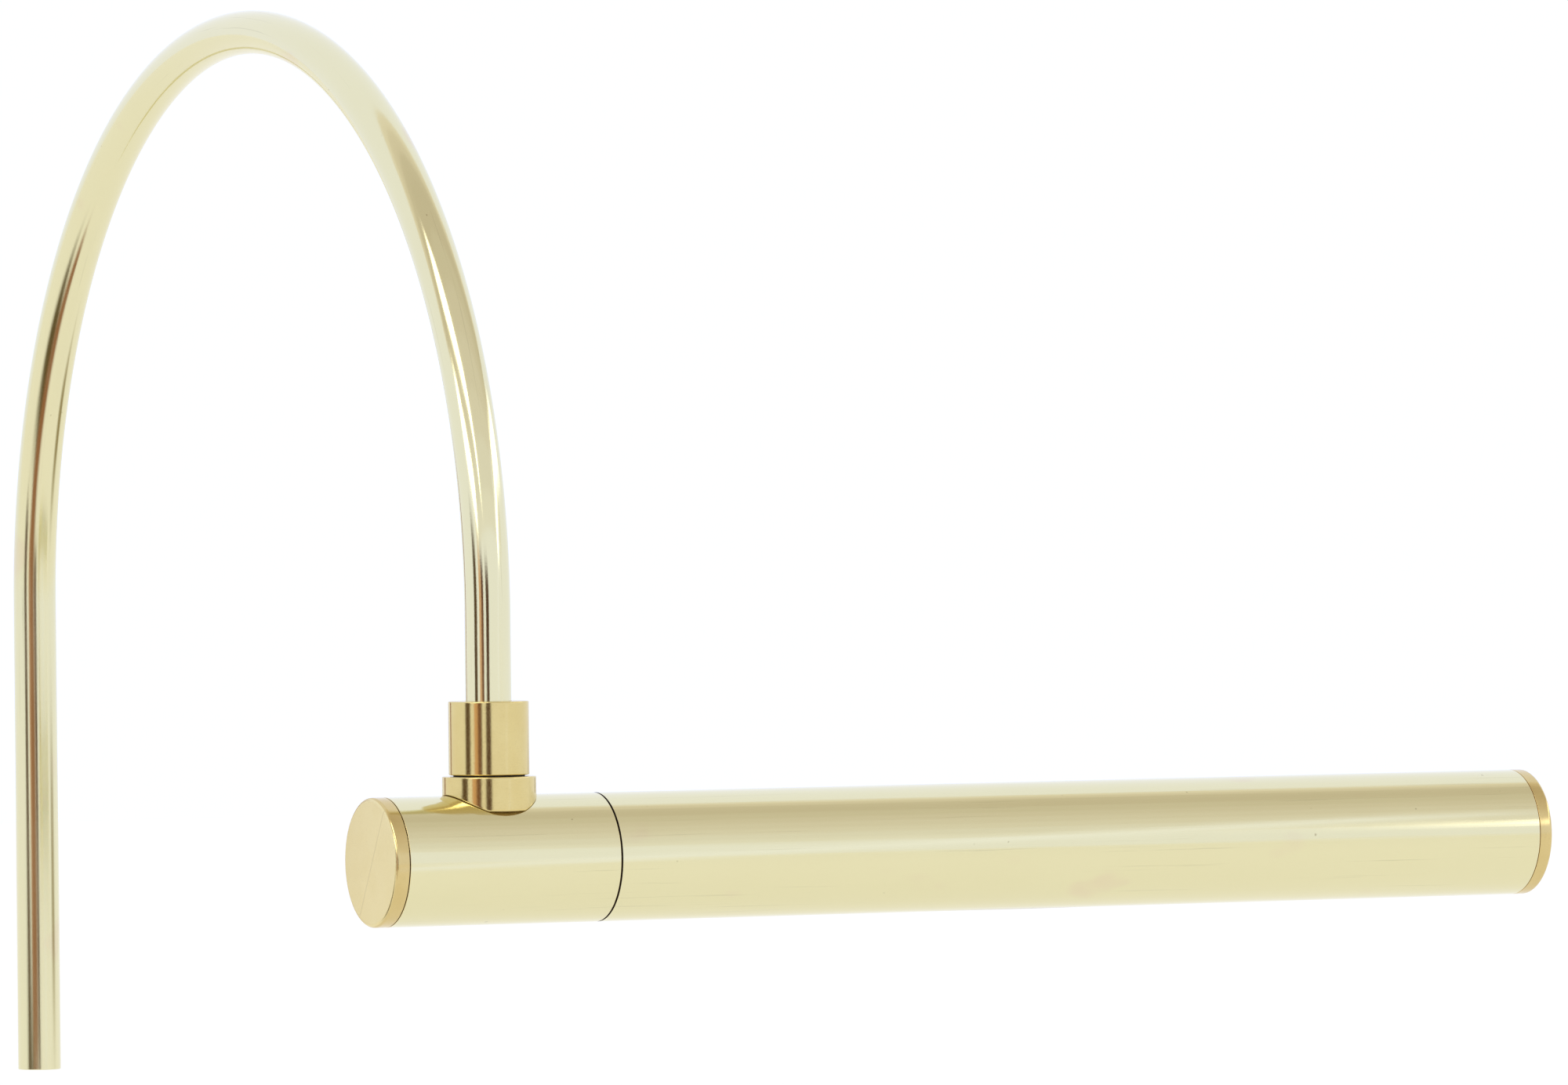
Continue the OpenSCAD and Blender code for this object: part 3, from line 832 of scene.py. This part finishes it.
def build_diffuser():
    """The opal strip, its sides curved to fit inside the channel, every edge rounded."""
    low, high = slot_box("diffuser")
    radius = math.hypot(high[1], low[2])
    steps, stations = 8, 40
    start, end = math.asin(low[2] / radius), math.asin(high[2] / radius)
    side = [start + (end - start) * i / steps for i in range(steps + 1)]
    section = [(radius * math.cos(a), radius * math.sin(a)) for a in side]
    section += [(-across, out) for across, out in reversed(section)]
    count = len(section)
    points, turn, faces = [], [], []
    for i in range(stations + 1):
        place = low[0] + (high[0] - low[0]) * i / stations
        for across, out in section:
            points.append(in_slot(place, across, out))
            turn.append((place, across, out))
    for i in range(stations):
        for k in range(count):
            a, b = i * count + k, i * count + (k + 1) % count
            faces.append((a, a + count, b + count, b))
    faces.append(tuple(range(count)))
    faces.append(tuple(stations * count + k for k in reversed(range(count))))
    piece = new_piece("diffuser_strip", points, faces, turn)
    merge(piece)
    finish_edges(piece, 0.25 * MM)
    install(piece, "diffuser", "shade", "opal_diffuser")


def soften_cad(names):
    """Breaks the edges of the CAD nodes that stay as they are."""
    for name in names:
        finish_edges(frame["nodes"][name], 0.06 * MM, 2)


# ---------------------------------------------------------------- studio

def card(name, points, faces, cover, colour):
    """A glowing or dark card that only the brass sees. cover is how solid it is at each point."""
    mesh = bpy.data.meshes.new(name)
    mesh.from_pydata(points, [], faces)
    mesh.attributes.new("cover", "FLOAT", "POINT").data.foreach_set("value", cover)
    obj = bpy.data.objects.new(name, mesh)
    bpy.context.scene.collection.objects.link(obj)
    material = bpy.data.materials.new(name)
    material.use_nodes = True
    nodes, links = material.node_tree.nodes, material.node_tree.links
    nodes.clear()
    glow = nodes.new("ShaderNodeEmission")
    glow.inputs["Color"].default_value = (*colour, 1)
    solid = nodes.new("ShaderNodeAttribute")
    solid.attribute_name = "cover"
    mix = nodes.new("ShaderNodeMixShader")
    out = nodes.new("ShaderNodeOutputMaterial")
    links.new(solid.outputs["Fac"], mix.inputs[0])
    links.new(nodes.new("ShaderNodeBsdfTransparent").outputs[0], mix.inputs[1])
    links.new(glow.outputs[0], mix.inputs[2])
    links.new(mix.outputs[0], out.inputs["Surface"])
    mesh.materials.append(material)
    obj.visible_camera = False
    obj.visible_shadow = False
    obj.visible_diffuse = False
    return obj


def grid_card(name, place, columns, rows, colour, soft_u=0.0, soft_v=0.0):
    """A card made by place(u, v), both from 0 to 1, which fades out towards its sides."""
    def fade(t, soft):
        return smoothstep(min(t, 1 - t) / soft) if soft else 1.0

    points, cover, faces = [], [], []
    for i in range(rows + 1):
        for j in range(columns + 1):
            u, v = j / columns, i / rows
            points.append(place(u, v))
            cover.append(fade(u, soft_u) * fade(v, soft_v))
    for i in range(rows):
        for j in range(columns):
            a = i * (columns + 1) + j
            faces.append((a, a + 1, a + columns + 2, a + columns + 1))
    return card(name, points, faces, cover, colour)


def ceiling_strip(name, first, last, colour, radius=1.5, reach=3.0):
    """A strip round the head's axis, from one angle above the front to another."""
    def place(u, v):
        angle = math.radians(first + (last - first) * v)
        return (reach * (2 * u - 1), AXIS_Y - radius * math.cos(angle), AXIS_Z + radius * math.sin(angle))

    grid_card(name, place, 1, 6, colour)


def sky_patch(name, bearings, heights, colour, soft_u=0.3, soft_v=0.3, radius=1.3, centre=HEAD_AXIS):
    """A patch of a sphere round a centre: bearings run from the front towards +X, heights upwards."""
    def place(u, v):
        bearing = math.radians(bearings[0] + (bearings[1] - bearings[0]) * u)
        height = math.radians(heights[0] + (heights[1] - heights[0]) * v)
        away = Vector((
            math.sin(bearing) * math.cos(height), -math.cos(bearing) * math.cos(height), math.sin(height)))
        return centre + radius * away

    grid_card(name, place, 16, 16, colour, soft_u, soft_v)


def light_bar(name, path, colour, radius=1.25):
    """A glowing bar seen from the middle of the arch.

    Its path is (bearing, height, thickness) in degrees.
    """
    middle = SWIVEL_AXIS + Vector((0, 0, ARCH_Z + 0.4 * ARCH_R))

    def place(u, v):
        whole = u * (len(path) - 1)
        i = min(int(whole), len(path) - 2)
        (b0, h0, t0), (b1, h1, t1) = path[i], path[i + 1]
        share = whole - i
        bearing = math.radians(b0 + (b1 - b0) * share)
        height = math.radians(h0 + (h1 - h0) * share + (t0 + (t1 - t0) * share) * (v - 0.5))
        away = Vector((
            math.sin(bearing) * math.cos(height), -math.cos(bearing) * math.cos(height), math.sin(height)))
        return middle + radius * away

    grid_card(name, place, 32, 8, colour, 0.12, 0.4)


def build_studio():
    world = bpy.data.worlds.new("studio")
    bpy.context.scene.world = world
    world.use_nodes = True
    world.node_tree.nodes["Background"].inputs["Color"].default_value = (1.0, 1.045, 1.22, 1)
    world.node_tree.nodes["Background"].inputs["Strength"].default_value = 1.0

    # The ceiling: where each strip begins, in degrees above the front, and its glow
    strips = [
        (18, (0.94, 0.95, 1.02)), (25, (0.89, 0.89, 0.94)), (35, (0.85, 0.83, 0.84)),
        (44, (0.81, 0.78, 0.77)), (55, (0.77, 0.73, 0.70)), (65, (0.73, 0.69, 0.64)),
        (76, (0.69, 0.64, 0.58)), (88, (0.71, 0.66, 0.60)), (94, (0.81, 0.76, 0.71)),
        (100, (0.90, 0.86, 0.82)), (105, None)]
    for i, (angle, glow) in enumerate(strips[:-1]):
        ceiling_strip(f"ceiling_{i + 1}", angle, strips[i + 1][0], glow)

    # The bright edge of the table, which climbs towards the right
    def streak(u, v):
        return (0.10 + 0.62 * u, AXIS_Y - 0.6, AXIS_Z - 0.30 + 0.86 * u + 0.15 * (v - 0.5))

    grid_card("table_edge", streak, 12, 12, (1.07, 1.13, 1.38), 0.2, 0.5)

    # Lit window bars, high on both sides of the camera
    upper_left = [(-84, 50, 24), (-62, 47, 24), (-44, 40, 18), (-33, 33, 16), (-25, 18, 14)]
    light_bar("bar_upper_left", upper_left, (5.0, 5.0, 4.9))
    light_bar("bar_lower_left", [(-88, 22, 14), (-68, 18, 14), (-53, 14, 12)], (5.0, 5.0, 5.0))
    right = [(96, 14, 12), (82, 17, 13), (64, 19, 13), (48, 13, 11), (38, 7, 10)]
    light_bar("bar_right", right, (2.8, 2.8, 2.9))

    # Dark stands round the camera
    stands = (
        ("stand_left", (-95, -76), (0.11, 0.065, 0.035)),
        ("stand_middle", (-56, -42), (0.10, 0.035, 0.020)),
        ("stand_wood", (-67, -53), (0.78, 0.49, 0.34)),
        ("stand_right", (-33, -16), (0.11, 0.060, 0.040)))
    for i, (name, bearings, glow) in enumerate(stands):
        sky_patch(name, bearings, (-20, 14), glow, 0.18, 0.18, 1.25 - 0.01 * i)

    # A chair beside the camera, in line with the middle stand for the front of the arm
    def chair(u, v):
        return (-0.335 + 0.09 * (u - 0.5), -0.536 - 0.05 * (u - 0.5), -0.13 + 0.30 * v)

    grid_card("chair", chair, 12, 12, (0.22, 0.10, 0.06), 0.35, 0.2)

    # Dark things low beside the arm, which its rear bend shows
    bend = Vector((0, -0.15 * ARCH_R, ARCH_Z + 0.5 * ARCH_R))
    sky_patch("dark_corner", (-98, -40), (-58, -22), (0.13, 0.095, 0.04), 0.3, 0.35, 0.36, bend)
    sky_patch("dark_side", (56, 88), (-42, -18), (0.36, 0.30, 0.18), 0.4, 0.4, 0.28, bend)

    # A dark thing beside the rear leg
    leg = Vector((0, 0, 0.6 * ARCH_Z))
    sky_patch("dark_by_leg", (-60, -20), (-46, 48), (0.34, 0.16, 0.085), 0.4, 0.15, 0.11, leg)

    size = 6.0
    floor_z = -0.16
    bpy.ops.mesh.primitive_plane_add(size=2 * size, location=(0, 0, floor_z))
    floor = bpy.context.object
    floor.name = "floor"
    material = bpy.data.materials.new("pale_floor")
    material.use_nodes = True
    shader = material.node_tree.nodes["Principled BSDF"]
    shader.inputs["Base Color"].default_value = (0.816, 0.783, 0.664, 1)
    shader.inputs["Roughness"].default_value = 0.9
    shader.inputs["Emission Color"].default_value = (0.97, 0.96, 1.0, 1)
    shader.inputs["Emission Strength"].default_value = 0.19
    floor.data.materials.append(material)


def build_camera():
    """The camera stands far off, left of the head's middle, at about the arm's mid height."""
    heading, pitch, roll = math.radians(25.612), math.radians(-0.613), math.radians(-0.556)
    place = Vector((-1.0406, AXIS_Y - 2.3188, AXIS_Z + 0.0949))
    forward = Vector((
        math.sin(heading) * math.cos(pitch), math.cos(heading) * math.cos(pitch), math.sin(pitch)))
    right = Vector((math.cos(heading), -math.sin(heading), 0))
    up = right.cross(forward)
    tilted_right = math.cos(roll) * right + math.sin(roll) * up
    tilted_up = math.cos(roll) * up - math.sin(roll) * right
    data = bpy.data.cameras.new("camera")
    data.sensor_width = 36
    data.lens = 270.86
    data.clip_end = 20
    camera = bpy.data.objects.new("camera", data)
    axes = Matrix((tilted_right, tilted_up, -forward)).transposed()
    camera.matrix_world = Matrix.Translation(place) @ axes.to_4x4()
    bpy.context.scene.collection.objects.link(camera)
    bpy.context.scene.camera = camera


# ---------------------------------------------------------------- making it

build_camera()
build_studio()
bpy.context.scene.view_settings.view_transform = "Standard"

slots = {s["node"]: s["material_slot"] for s in frame["record"]["subparts"]}
for name, obj in frame["nodes"].items():
    dress(obj, CORE_BRASS if slots[name].endswith("_brass") else MATERIALS[slots[name]])

build_arm_tube()
build_collar()
build_saddle_ring()
build_housing_tube()
build_cap("housing_cap_turned", "housing_cap", "housing", housing_low.x, -1, "housing_cap_screw")
build_shade_tube()
build_cap("shade_cap_turned", "shade_cap", "shade", shade_high.x, 1, "shade_cap_screw")
build_led_chips()
build_led_board()
build_diffuser()
soften_cad((
    "led_channel", "channel_screws", "channel_pillars", "collar_screw", "housing_cap_screw",
    "pivot_hub_screw", "shade_bush_screw", "shade_cap_screw", "lead_bush", "swivel_nut",
    "pivot_hub", "shade_bush", "inner_saddle", "retaining_ring", "pivot_washer", "swivel_washer",
    "stop_washer", "swivel_nipple"))
